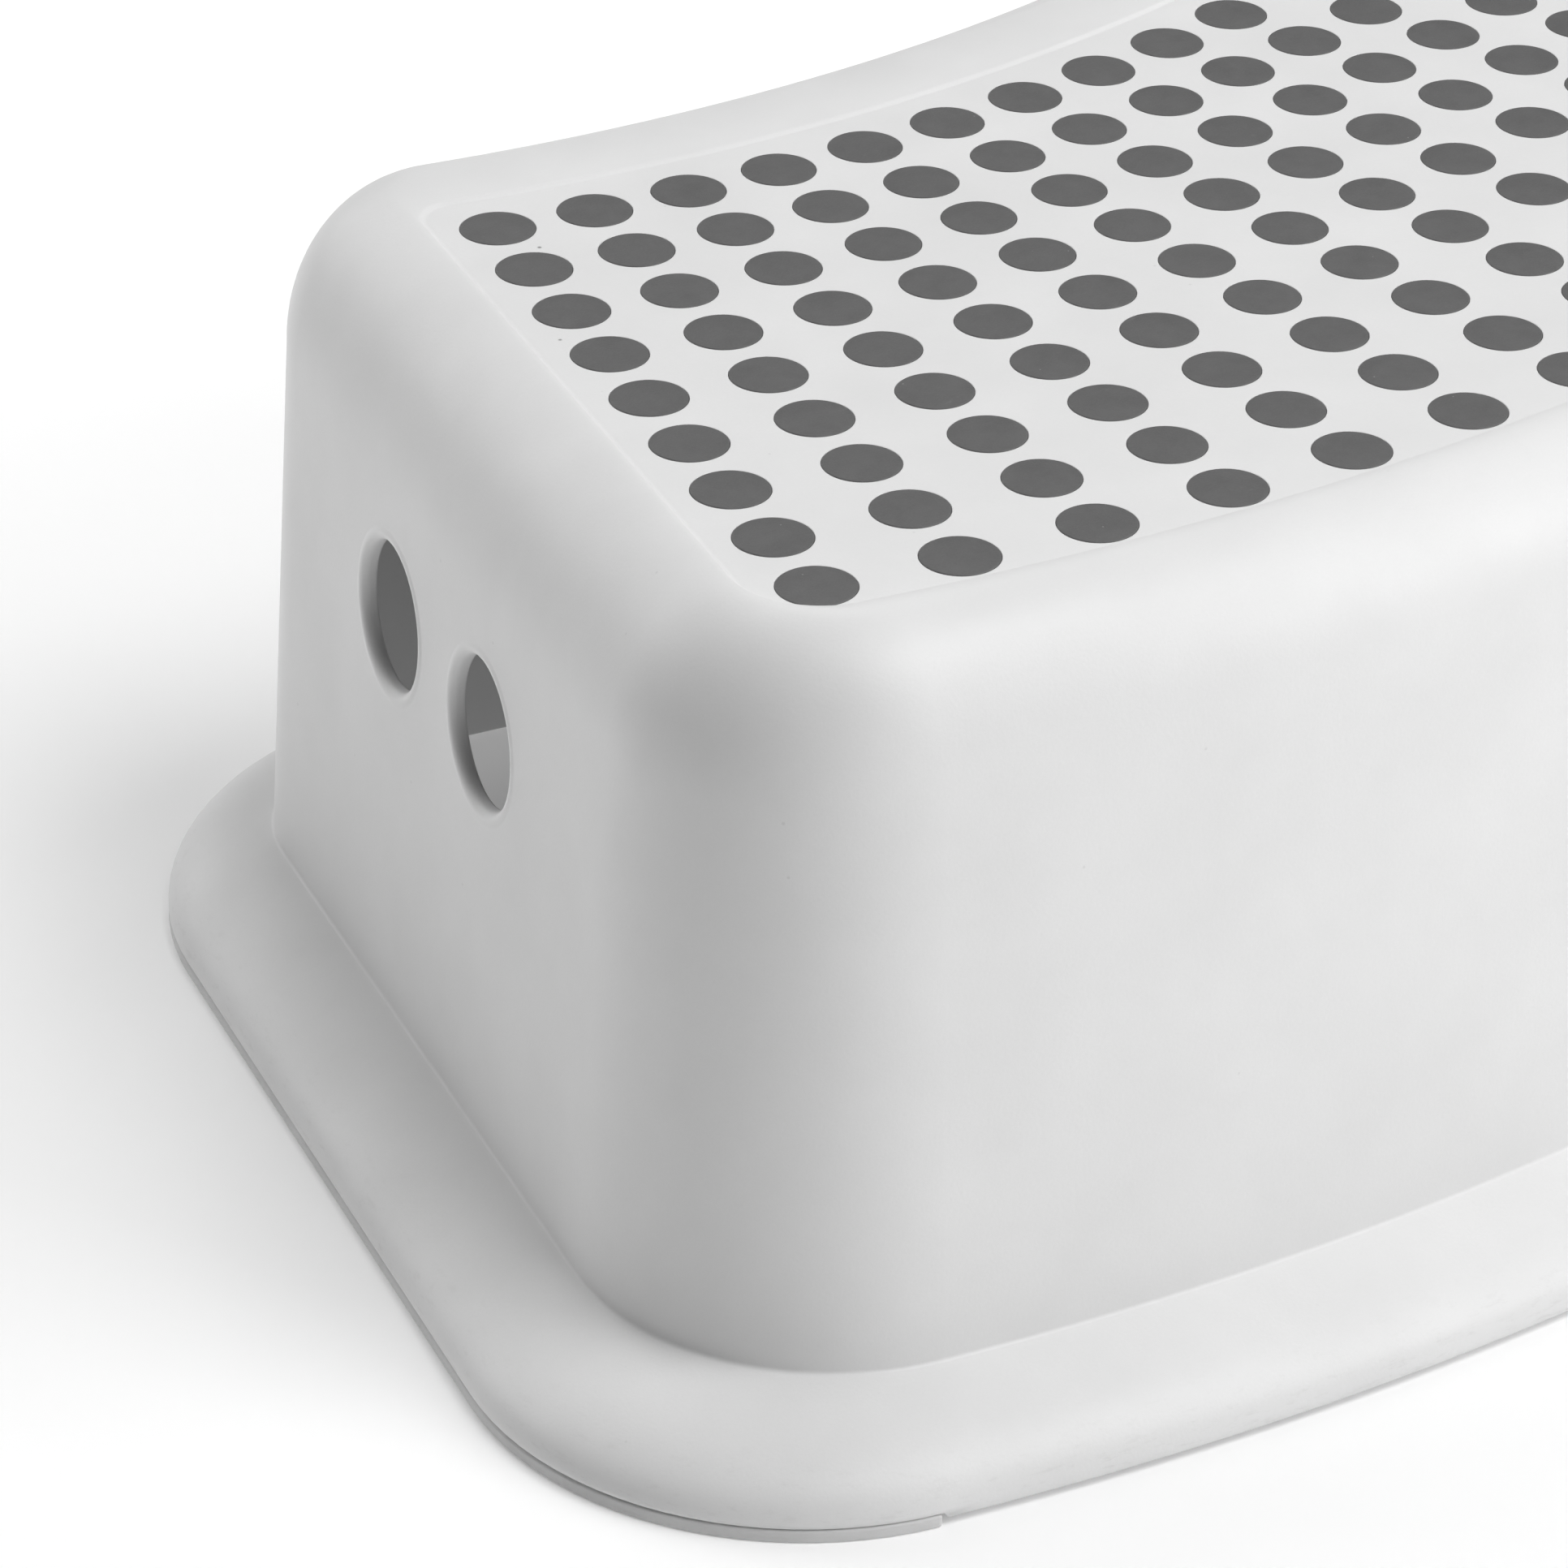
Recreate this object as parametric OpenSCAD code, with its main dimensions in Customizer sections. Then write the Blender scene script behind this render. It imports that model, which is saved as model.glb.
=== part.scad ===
/* [Footprint] */
// Radius of the long front edge at the floor
front_radius = 522; // [521:1:530]
// Radius of the long back edge at the floor
back_radius = 277; // [268:1:282]
// Angle from the middle of the stool to the direction of each end wall
end_angle = 16.53; // [15:0.01:17.5]
// Distance of each end edge outside the ray that it runs along
end_offset = 53.9; // [50:0.1:55]
// Corner radius of the skirt at the front
skirt_front_corner = 53.4; // [48:0.1:58]
// Corner radius of the skirt at the back
skirt_back_corner = 61; // [56:0.1:66]

/* [Body] */
// Overall height
height = 129.6; // [120:0.1:150]
// Width of the flared skirt
skirt_w = 20.5; // [18:0.1:22]
// Height of the crease between skirt and wall
skirt_h = 13.9; // [11:0.1:16]
// Gap between the skirt's lower edge and the floor
lip_gap = 1.5; // [1:0.1:2]
// Draft angle of the walls
draft = 2.9; // [1:0.1:4]
// Corner radius of the walls at the crease, at the front
wall_front_corner = 40.7; // [38:0.1:42]
// Corner radius of the walls at the crease, at the back
wall_back_corner = 31.5; // [30:0.1:40]
// Height of the rounded shoulder
shoulder_h = 26.4; // [20:0.1:30]
// Width of the flat rim between the shoulder and the panel's ends
rim_w = 0.4; // [0.3:0.1:2]
// Wall thickness of the moulding
shell_t = 2.6; // [2.2:0.1:3]
// Thickness of the tread panel
panel_t = 2.8; // [2.4:0.1:3.4]
// Depth of the panel below the rim
panel_step = 0.5; // [0.4:0.1:1]

/* [Tread] */
// Dots in each row
columns = 13; // [11:1:13]
// Diameter of a dot
dot_d = 12; // [11:0.1:12.6]
// Radius of the back row
row_radius = 343.8; // [342:0.1:345]
// Distance between rows
row_pitch = 15.7; // [15.5:0.1:15.8]
// Angle between columns
column_angle = 2.755; // [2.6:0.001:2.756]
// Height that a dot stands above the panel
dot_rise = 0.4; // [0.3:0.1:0.8]
// Width of the runner that joins a row of dots under the panel
runner_w = 5; // [4:0.5:6]
// Thickness of the runner
runner_t = 1.4; // [1:0.1:2]

/* [Panel margins] */
// Distance from the centres of the front row to the panel's front edge
front_margin = 7.4; // [7:0.1:8.4]
// Distance from the centres of the back row to the panel's back edge
back_margin = 11.4; // [9:0.1:16]
// Distance from the end columns' centre line to the panel's end edge
end_margin = 11; // [10.6:0.1:13]
// Radius of the panel's back corners
panel_back_corner = 6; // [4:1:9]

/* [Finger holes] */
// Diameter of a finger hole
finger_d = 24; // [20:0.5:26]
// Height of the holes above the floor
finger_z = 81; // [70:1:84]
// Distance of the pair of holes behind the middle of the end wall
finger_shift = 6.3; // [0:0.1:12]
// Distance between the two holes of one end
finger_pitch = 39.2; // [36:0.1:44]

/* [Ribs and foot strips] */
// Thickness of an arc rib under the panel
rib_t = 2; // [1.6:0.1:2.6]
// Depth of an arc rib
rib_h = 13; // [8:1:16]
// Width of a foot strip
strip_w = 3; // [2.4:0.1:3.2]
// Height of a foot strip
strip_h = 2.3; // [2.1:0.1:2.6]

/* [Hidden] */
$fn = 96;

// Rows of dots, from back to front. Each has its own node.
rows = 9;

// Sides of the faceted skin: segments in half the long edges, in a corner, in the skirt and in the shoulder
edge_steps = 8;
corner_steps = 9;
skirt_steps = 4;
shoulder_steps = 6;

// The arc centre lies behind the stool. The ends of the back edge are its rearmost points, and the
// origin is midway between them and the front edge. Insets are measured in from the floor outline.
rear_r = back_radius + skirt_back_corner;
rear_e = end_offset - skirt_back_corner;
rear_y = ray_point(rear_r * cos(off_ray(rear_e, rear_r)), rear_e)[1] + skirt_back_corner;
arc_y = (front_radius - rear_y) / 2;
lip_top = lip_gap + 1.7;
skirt_sweep = 68;
wall_top = height - shoulder_h;
wall_inset = skirt_w + (wall_top - skirt_h) * tan(draft);
rim_inset = end_offset - end_margin - rim_w;
shoulder_w = rim_inset - wall_inset;
shoulder_sweep = 79;
panel_z = height - panel_step;
cavity_z = panel_z - panel_t;

// Outline of the recessed panel, from the centres of the outer dots
panel_front_r = row_radius + (rows - 1) * row_pitch + front_margin;
panel_back_r = row_radius - back_margin;
panel_half_a = column_angle * (columns - 1) / 2;

// The panel's front corners are almost as tight as the rounder shoulder outside them allows
front_rim_w = front_radius - rim_inset - panel_front_r;
panel_front_corner = wall_front_corner + skirt_w - rim_inset
    - (rim_w + front_rim_w + 0.9 * sqrt(2 * rim_w * front_rim_w));

// Ribs stand in these gaps between rows, counted from the back
rib_gaps = [1, 3, rows - 3, rows - 1];
rib_end = 14;

finger_mid = (front_radius + back_radius) / 2 - finger_shift;
finger_chamfer = 1.4;
dot_edge = 0.25;
strip_edge = 0.4;

// Sections of a foot strip and of the seat that it lies in, as [inset, height] points
strip_section = [
    [strip_edge, 0], [0, strip_edge], [0, strip_h - strip_edge], [strip_edge, strip_h],
    [strip_w, strip_h], [strip_w, 0]
];
strip_seat = [[-1, 0], [-1, strip_h], [strip_w + 1, strip_h], [strip_w + 1, 0]];

// Angle between the end ray and a point that lies e outside it at radius r
function off_ray(e, r) = asin(e / r);

// Point on the left half of the arc of radius r, a degrees from the middle of the stool
function arc_point(r, a) = [-r * sin(a), -r * cos(a)];

// Point at distance along the left end ray and e outside it
function ray_point(along, e) = [
    -along * sin(end_angle) - e * cos(end_angle),
    -along * cos(end_angle) + e * sin(end_angle)
];

function mirrored(points) = [for (i = [len(points) - 1 : -1 : 0]) [-points[i][0], points[i][1]]];
function reversed(points) = [for (i = [len(points) - 1 : -1 : 0]) points[i]];

// Rounded corner of the left end. way is 1 at the front edge and -1 at the back edge,
// r the edge's radius, e the end wall's offset and c the corner's radius.
function corner_points(r, e, c, way) =
    let (turn = off_ray(e - c, r - way * c), along = (r - way * c) * cos(turn))
    [for (i = [0 : corner_steps])
        let (t = (90 - way * turn) * i / corner_steps)
        ray_point(along + way * c * sin(t), e - c + c * cos(t))];

// Long edge and its two corners, from left to right
function edge_points(r, e, c, way) =
    let (
        half_a = end_angle + off_ray(e - c, r - way * c),
        left = concat(
            corner_points(r, e, c, way),
            [for (i = [1 : edge_steps - 1]) arc_point(r, half_a * (1 - i / edge_steps))]
        )
    )
    concat(left, [arc_point(r, 0)], mirrored(left));

// A ring of the skin: front edge, then back edge.
// level is [front radius, back radius, end offset, front corner, back corner, height].
function ring(level) = [
    for (p = concat(
        edge_points(level[0], level[2], level[3], 1),
        reversed(edge_points(level[1], level[2], level[4], -1))
    )) [p[0], p[1] + arc_y, level[5]]
];

// Level on the skirt, where the corners change from the floor's radii to the walls'
function skirt_level(inset, z) =
    let (f = inset / skirt_w)
    [
        front_radius - inset, back_radius + inset, end_offset - inset,
        skirt_front_corner + (wall_front_corner - skirt_front_corner) * f,
        skirt_back_corner + (wall_back_corner - skirt_back_corner) * f,
        z
    ];

// Level on a wall or shoulder, where the corners shrink as the outline moves in
function wall_level(inset, z) = [
    front_radius - inset, back_radius + inset, end_offset - inset,
    wall_front_corner + skirt_w - inset, wall_back_corner + skirt_w - inset, z
];

function panel_level(z) = [
    panel_front_r, panel_back_r, end_margin, panel_front_corner, panel_back_corner, z
];

// Quarter curve of the skirt, from its lower edge up to the crease
function skirt_curve(inset_a, z_a, inset_b, z_b) = [
    for (i = [0 : skirt_steps])
        let (a = skirt_sweep * i / skirt_steps)
        skirt_level(
            inset_a + (inset_b - inset_a) * (1 - cos(a)) / (1 - cos(skirt_sweep)),
            z_a + (z_b - z_a) * sin(a) / sin(skirt_sweep)
        )
];

// Shoulder curve, from the top of the wall, thinned by t, to the given height
function shoulder_curve(t, top) = [
    for (i = [0 : shoulder_steps])
        let (a = shoulder_sweep * i / shoulder_steps)
        wall_level(
            wall_inset + t + (shoulder_w - t) * (1 - cos(a)) / (1 - cos(shoulder_sweep)),
            wall_top + (top - wall_top) * sin(a) / sin(shoulder_sweep)
        )
];

// The skin runs from the cavity's ceiling down inside, round the lip and up outside to the panel
skin_levels = concat(
    reversed(shoulder_curve(shell_t, cavity_z)),
    reversed(skirt_curve(strip_w, lip_gap, skirt_w + shell_t, skirt_h - shell_t)),
    [skirt_level(0, lip_gap)],
    skirt_curve(0, lip_top, skirt_w, skirt_h),
    shoulder_curve(0, height),
    [panel_level(height), panel_level(panel_z)]
);

// Faces of a closed tube of rings, with count rings of n points each
function side_faces(count, n) = [
    for (k = [0 : count - 2], i = [0 : n - 1], half = [0, 1])
        let (a = k * n + i, b = k * n + (i + 1) % n)
        half == 0 ? [a, a + n, b] : [b, a + n, b + n]
];

// Flat cap over a ring that starts at point first, as quads from front edge to back edge
function cap_faces(first, n, upward) = [
    for (i = [0 : n / 2 - 2])
        let (quad = [first + i, first + i + 1, first + n - 2 - i, first + n - 1 - i])
        upward ? reversed(quad) : quad
];

module skin() {
    rings = [for (level = skin_levels) ring(level)];
    n = len(rings[0]);
    polyhedron(
        points = [for (r = rings, p = r) p],
        faces = concat(
            cap_faces(0, n, false),
            side_faces(len(rings), n),
            cap_faces((len(rings) - 1) * n, n, true)
        )
    );
}

// Calls its children at every dot of the given row
module at_dots(row) {
    for (i = [0 : columns - 1])
        translate([0, arc_y, 0])
            rotate([0, 0, (i - (columns - 1) / 2) * column_angle])
                translate([0, -row_radius - row * row_pitch, 0])
                    children();
}

// Calls its children at every finger hole, with +Z pointing out of the end wall
module at_finger_holes() {
    face = end_offset - skirt_w - (finger_z - skirt_h) * tan(draft);
    for (side = [0, 1], k = [-1, 1])
        mirror([side, 0, 0])
            translate([0, arc_y, 0])
                rotate([0, 0, -90 - end_angle])
                    translate([finger_mid + k * finger_pitch / 2, -face, finger_z])
                        rotate([90, 0, 0])
                            children();
}

// Arc-shaped bar under the panel, with its middle line at radius r
module arc_bar(r, width, bottom, top, half_a) {
    translate([0, arc_y, 0])
        rotate([0, 0, -90 - half_a])
            rotate_extrude(angle = 2 * half_a)
                translate([r - width / 2, bottom])
                    square([width, top - bottom]);
}

// Ribs under the panel. They run out in the shoulders, short of the end walls.
module ribs() {
    for (g = rib_gaps) {
        r = row_radius + (g - 0.5) * row_pitch;
        arc_bar(r, rib_t, cavity_z - rib_h, cavity_z + panel_t / 2, end_angle + off_ray(rib_end, r));
    }
}

module body_shell() {
    color("whitesmoke")
        difference() {
            union() {
                skin();
                ribs();
            }
            for (row = [0 : rows - 1])
                at_dots(row)
                    translate([0, 0, cavity_z - 1])
                        cylinder(d = dot_d, h = panel_t + 2);
            at_finger_holes() {
                translate([0, 0, -4 * shell_t])
                    cylinder(d = finger_d, h = 8 * shell_t);
                translate([0, 0, -finger_chamfer])
                    cylinder(d1 = finger_d, d2 = finger_d + 4 * finger_chamfer, h = 2 * finger_chamfer);
            }
            for (side = [0, 1])
                mirror([side, 0, 0])
                    strip_sweep(strip_seat);
        }
}

// One row of dots on its runner. Row 1 is the back row.
module tread_row(n) {
    row = n - 1;
    bottom = cavity_z - runner_t;
    top = panel_z + dot_rise;
    color("dimgray") {
        arc_bar(row_radius + row * row_pitch, runner_w, bottom, cavity_z, panel_half_a);
        at_dots(row) {
            translate([0, 0, bottom])
                cylinder(d = dot_d, h = top - dot_edge - bottom);
            translate([0, 0, top - dot_edge])
                cylinder(d1 = dot_d, d2 = dot_d - 2 * dot_edge, h = dot_edge);
        }
    }
}

// Section carried along the edge of the skirt, round both corners of the left end.
// section is a closed list of [inset, height] points.
module strip_sweep(section) {
    rings = [
        for (step = [0 : 2 * corner_steps + 1])
            [for (q = section)
                let (
                    p = concat(
                        reversed(corner_points(
                            front_radius - q[0], end_offset - q[0], skirt_front_corner - q[0], 1
                        )),
                        corner_points(
                            back_radius + q[0], end_offset - q[0], skirt_back_corner - q[0], -1
                        )
                    )[step]
                )
                [p[0], p[1] + arc_y, q[1]]]
    ];
    n = len(section);
    last = (len(rings) - 1) * n;
    polyhedron(
        points = [for (r = rings, p = r) p],
        faces = concat(
            [[for (i = [0 : n - 1]) i]],
            side_faces(len(rings), n),
            [[for (i = [0 : n - 1]) last + n - 1 - i]]
        )
    );
}

// Soft strip that the left end of the stool stands on
module foot_strip() {
    color("gainsboro")
        strip_sweep(strip_section);
}

body_shell();
tread_row(1);  // tread_row_1
tread_row(2);  // tread_row_2
tread_row(3);  // tread_row_3
tread_row(4);  // tread_row_4
tread_row(5);  // tread_row_5
tread_row(6);  // tread_row_6
tread_row(7);  // tread_row_7
tread_row(8);  // tread_row_8
tread_row(9);  // tread_row_9
foot_strip();  // foot_strip_left
mirror([1, 0, 0]) foot_strip();  // foot_strip_right
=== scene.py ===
import math

import bmesh
import bpy
from mathutils import Matrix, Vector
from mathutils.geometry import delaunay_2d_cdt


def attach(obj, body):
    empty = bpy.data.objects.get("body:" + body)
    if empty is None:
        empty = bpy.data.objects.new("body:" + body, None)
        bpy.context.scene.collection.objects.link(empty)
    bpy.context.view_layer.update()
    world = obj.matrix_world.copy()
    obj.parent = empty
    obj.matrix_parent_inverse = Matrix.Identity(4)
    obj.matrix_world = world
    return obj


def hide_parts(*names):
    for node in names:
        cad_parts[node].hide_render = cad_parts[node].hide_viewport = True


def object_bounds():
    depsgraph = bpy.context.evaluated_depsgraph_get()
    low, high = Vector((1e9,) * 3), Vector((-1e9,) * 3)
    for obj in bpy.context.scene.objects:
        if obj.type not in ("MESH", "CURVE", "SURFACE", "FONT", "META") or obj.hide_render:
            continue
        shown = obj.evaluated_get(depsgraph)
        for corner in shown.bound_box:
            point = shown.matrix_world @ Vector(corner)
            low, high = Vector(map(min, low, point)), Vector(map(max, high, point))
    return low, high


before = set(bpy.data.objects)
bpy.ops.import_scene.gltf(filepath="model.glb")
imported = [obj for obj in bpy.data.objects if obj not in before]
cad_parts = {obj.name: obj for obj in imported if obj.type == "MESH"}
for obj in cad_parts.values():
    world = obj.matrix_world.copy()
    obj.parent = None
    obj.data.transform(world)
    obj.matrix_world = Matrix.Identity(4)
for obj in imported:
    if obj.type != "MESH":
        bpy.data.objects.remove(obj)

# A low step stool in white moulded plastic, with soft grey tread studs and soft foot strips.
# Lengths are in millimetres up to make_piece(), which scales them to Blender's metres.
MM = 0.001
ROOT = "root"
cad_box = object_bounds()

# ---------------------------------------------------------------- driving dimensions

# Plan: two concentric arcs, and end walls parallel to the rays through the outer columns of studs
FRONT_R = 522.0
BACK_R = 277.0
END_ANGLE = math.radians(16.53)
END_OFFSET = 53.9
SKIRT_FRONT_CORNER = 53.4
SKIRT_BACK_CORNER = 61.0
WALL_FRONT_CORNER = 40.7
WALL_BACK_CORNER = 31.5

# Heights and insets of the section through a wall
TOP = cad_box[1].z / MM
ARC_Y = cad_box[0].y / MM + FRONT_R
LIP_INSET = 0.25
LIP_GAP = 1.5
LIP_TOP = 3.2
LIP_ROUND = 0.4
INNER_LIP_INSET = 3.3
SKIRT_W = 20.5
SKIRT_H = 13.9
SKIRT_SWEEP = math.radians(68)
CREASE_R = 0.7
DRAFT = math.radians(2.9)
SHOULDER_H = 26.4
SHOULDER_SWEEP = math.radians(79)
RIM_W = 0.4
SHELL_T = 2.6

# Recessed panel. The slope goes from the rim down to it, and PANEL_STEP is its height.
PANEL_STEP = 0.5
PANEL_T = 2.8
PANEL_BACK_CORNER = 6.0
END_MARGIN = 11.0
FRONT_MARGIN = 7.4
BACK_MARGIN = 11.4
# Width of the slope at the front, and elsewhere
FRONT_SLOPE = 0.35
SLOPE = 1.1
# Radius of the front corners at the foot of the slope
SLOPE_CORNER = 12.4

# Studs, in rows from the back to the front, and the runner that joins each row under the panel
ROWS = 9
COLUMNS = 13
STUD_R = 6.0
STUD_RISE = 0.4
STUD_CROWN = 0.3
STUD_EDGE_R = 0.25
STUD_GAP = 0.06
# Depth below the panel of a stud's next ring, which keeps the edge's shading off its side
STUD_NECK = 0.5
STUD_FOOT_ROUND = 0.4
HOLE_EDGE_R = 0.12
ROW_R = 343.8
ROW_PITCH = 15.7
COLUMN_ANGLE = math.radians(2.755)
RUNNER_W = 5.0
RUNNER_T = 1.4

# Finger holes in the end walls, with a rounded edge and a low bead around it
FINGER_R = 12.0
FINGER_Z = 81.0
FINGER_PITCH = 39.2
FINGER_SHIFT = 6.3
FINGER_EDGE_R = 1.4
FINGER_INNER_EDGE_R = 0.6
FINGER_BEAD = 0.2
FINGER_BEAD_W = 1.1

# Ribs under the panel. RIB_GAPS counts the gaps between rows from the back, RIB_END is how far a rib
# reaches past the end ray.
RIB_GAPS = (1, 3, 6, 8)
RIB_T = 2.0
RIB_H = 13.0
RIB_END = 14.0

# Foot strips
STRIP_W = 3.0
STRIP_H = 2.3
STRIP_ROUND = 0.55
STRIP_INNER_ROUND = 0.25
# How far a strip stands out past the shell's lip, and its gap to the shell above it
STRIP_PROUD = 0.05
STRIP_GAP = 0.12

# Mesh density along the outline: segments in half a long edge, in a corner and in an end wall
ARC_STEPS = 26
CORNER_STEPS = 22
END_STEPS = 12
# Share of half a long edge at which a foot strip ends
STRIP_END_SHARE = 0.004
# Mesh density across the sections
SKIRT_STEPS = 12
SHOULDER_STEPS = 18
ROUND_STEPS = 5
SLOPE_STEPS = 8
HOLE_EDGE_STEPS = 3
HOLE_POINTS = 56
CROWN_STEPS = 6
FINGER_STEPS = 8
FINGER_BEAD_STEPS = 6
FINGER_POINTS = 96
# Width of the flat ring that keeps a rounded edge's shading off the flat area beside it: around the
# panel and the stud holes, and around the finger holes on the inside
GUARD = 0.05
FINGER_GUARD = 0.8

PANEL_Z = TOP - PANEL_STEP
CEILING_Z = PANEL_Z - PANEL_T
WALL_TOP = TOP - SHOULDER_H
WALL_INSET = SKIRT_W + (WALL_TOP - SKIRT_H) * math.tan(DRAFT)
RIM_INSET = END_OFFSET - END_MARGIN - RIM_W
SHOULDER_W = RIM_INSET - WALL_INSET
PANEL_FRONT_R = ROW_R + (ROWS - 1) * ROW_PITCH + FRONT_MARGIN
FRONT_RIM_W = FRONT_R - RIM_INSET - PANEL_FRONT_R
# The panel's front corners are almost as tight as the rounder shoulder outside them allows.
PANEL_FRONT_CORNER = WALL_FRONT_CORNER + SKIRT_W - RIM_INSET
PANEL_FRONT_CORNER -= RIM_W + FRONT_RIM_W + 0.9 * math.sqrt(2 * RIM_W * FRONT_RIM_W)
FINGER_MID = (FRONT_R + BACK_R) / 2 - FINGER_SHIFT


# ---------------------------------------------------------------- plan outlines

def turn_of(e, r):
    """Angle between the end ray and a point that lies e outside it at radius r."""
    return math.asin(e / r)


def arc_spot(r, a):
    """Point at radius r, a to the left of the stool's middle."""
    return (-r * math.sin(a), ARC_Y - r * math.cos(a))


def ray_spot(along, e):
    """Point at distance along the left end ray, e outside it."""
    return (
        -along * math.sin(END_ANGLE) - e * math.cos(END_ANGLE),
        ARC_Y - along * math.cos(END_ANGLE) + e * math.sin(END_ANGLE),
    )


def mirrored(points):
    return [(-p[0],) + tuple(p[1:]) for p in points]


def corner(r, e, c, way):
    """Corner of the left end, from the end wall round to the long edge of radius r.

    e is the end wall's offset and c the corner's radius. way is 1 at the front and -1 at the back.
    """
    turn = turn_of(e - c, r - way * c)
    along = (r - way * c) * math.cos(turn)
    sweep = math.pi / 2 - way * turn
    points = []
    for i in range(CORNER_STEPS + 1):
        t = sweep * i / CORNER_STEPS
        points.append(ray_spot(along + way * c * math.sin(t), e - c + c * math.cos(t)))
    return points


def long_edge(r, e, c, way):
    """Left half of a long edge, from the end of its corner to the stool's middle, both left out."""
    half = END_ANGLE + turn_of(e - c, r - way * c)
    shares = [STRIP_END_SHARE] + [i / ARC_STEPS for i in range(1, ARC_STEPS)]
    return [arc_spot(r, half * (1 - f)) for f in shares]


def outline(front_r, back_r, e, front_c, back_c):
    """Closed plan outline: from the front's middle by the left end to the back's middle, then the right."""
    front = corner(front_r, e, front_c, 1)
    back = corner(back_r, e, back_c, -1)
    a, b = front[0], back[0]
    end = [
        (a[0] + (b[0] - a[0]) * i / END_STEPS, a[1] + (b[1] - a[1]) * i / END_STEPS)
        for i in range(1, END_STEPS)
    ]
    left = long_edge(front_r, e, front_c, 1)[::-1] + front[::-1] + end + back
    left += long_edge(back_r, e, back_c, -1)
    middle_front, middle_back = arc_spot(front_r, 0), arc_spot(back_r, 0)
    return [middle_front] + left + [middle_back] + mirrored(left)[::-1]


# Places along the outline: the back's middle, and on the left half a strip's first point, the end
# wall's first point and the strip's last point
HALF_COUNT = 2 * (ARC_STEPS + CORNER_STEPS + 1) + END_STEPS
FIRST_CORNER = ARC_STEPS + 1
END_START = FIRST_CORNER + CORNER_STEPS
LAST_CORNER = END_START + END_STEPS + CORNER_STEPS


def over_strip(i):
    """True at the outline points that lie over a foot strip."""
    k = min(i, 2 * HALF_COUNT - i)
    return FIRST_CORNER <= k <= LAST_CORNER


def corners_at(inset):
    """Corner radii at an inset from the floor outline."""
    if inset < SKIRT_W:
        f = inset / SKIRT_W
        return (
            SKIRT_FRONT_CORNER + (WALL_FRONT_CORNER - SKIRT_FRONT_CORNER) * f,
            SKIRT_BACK_CORNER + (WALL_BACK_CORNER - SKIRT_BACK_CORNER) * f,
        )
    return WALL_FRONT_CORNER + SKIRT_W - inset, WALL_BACK_CORNER + SKIRT_W - inset


def level(inset, z, z_over_strip=None):
    """Ring of the shell at an inset from the floor outline."""
    plan = outline(FRONT_R - inset, BACK_R + inset, END_OFFSET - inset, *corners_at(inset))
    lifted = z if z_over_strip is None else z_over_strip
    return [(x, y, lifted if over_strip(i) else z) for i, (x, y) in enumerate(plan)]


def panel_outline():
    """Upper edge of the slope around the recessed panel."""
    return outline(PANEL_FRONT_R, ROW_R - BACK_MARGIN, END_MARGIN, PANEL_FRONT_CORNER, PANEL_BACK_CORNER)


def panel_floor_outline(inset=0.0):
    """Lower edge of the slope around the recessed panel, or a little inside it."""
    return outline(
        PANEL_FRONT_R - FRONT_SLOPE - inset,
        ROW_R - BACK_MARGIN + SLOPE + inset,
        END_MARGIN - SLOPE - inset,
        SLOPE_CORNER - inset,
        PANEL_BACK_CORNER - inset,
    )


# ---------------------------------------------------------------- section through a wall

def fillet(a, corner_point, b, r, steps=ROUND_STEPS):
    """Points of a rounded corner of radius r in the section a, corner_point, b."""
    p, q, s = Vector(a), Vector(corner_point), Vector(b)
    u, v = (p - q).normalized(), (s - q).normalized()
    half = u.angle(v) / 2
    reach = r / math.tan(half)
    centre = q + (u + v).normalized() * (r / math.sin(half))
    start, stop = q + u * reach - centre, q + v * reach - centre
    sweep = start.angle(stop)
    points = []
    for i in range(steps + 1):
        f = i / steps
        mix = (start * math.sin((1 - f) * sweep) + stop * math.sin(f * sweep)) / math.sin(sweep)
        points.append(tuple(centre + mix))
    return points


def skirt_section(inset_a, z_a, inset_b, z_b):
    points = []
    for i in range(SKIRT_STEPS + 1):
        a = SKIRT_SWEEP * i / SKIRT_STEPS
        points.append((
            inset_a + (inset_b - inset_a) * (1 - math.cos(a)) / (1 - math.cos(SKIRT_SWEEP)),
            z_a + (z_b - z_a) * math.sin(a) / math.sin(SKIRT_SWEEP),
        ))
    return points


def shoulder_section(t, top):
    points = []
    for i in range(SHOULDER_STEPS + 1):
        a = SHOULDER_SWEEP * i / SHOULDER_STEPS
        points.append((
            WALL_INSET + t + (SHOULDER_W - t) * (1 - math.cos(a)) / (1 - math.cos(SHOULDER_SWEEP)),
            WALL_TOP + (top - WALL_TOP) * math.sin(a) / math.sin(SHOULDER_SWEEP),
        ))
    return points


def wall_inset(z, t=0.0):
    return SKIRT_W + t + (z - SKIRT_H) * math.tan(DRAFT)


# The finger holes' window in an end wall: its lower and upper height, how closely a ring's height has to
# match, and how many segments of the end wall it leaves out at either side
WINDOW = (FINGER_Z - 19, FINGER_Z + 18)
WINDOW_MARGIN = 1e-6
WINDOW_SIDE = 2
# Height above the crease of the first ring of the wall
FIRST_RING = 4


def outer_section():
    """Outside of the shell from the lip up to the rim, as (inset, height)."""
    skirt = skirt_section(LIP_INSET, LIP_TOP, SKIRT_W, SKIRT_H)
    wall = [(wall_inset(z), z) for z in WINDOW]
    crease = fillet(skirt[-2], skirt[-1], wall[0], CREASE_R)
    shoulder = shoulder_section(0, TOP)
    low = [(wall_inset(z), z) for z in (SKIRT_H + FIRST_RING, (SKIRT_H + WINDOW[0]) / 2)]
    return skirt[:-1] + crease + low + wall + shoulder


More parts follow.
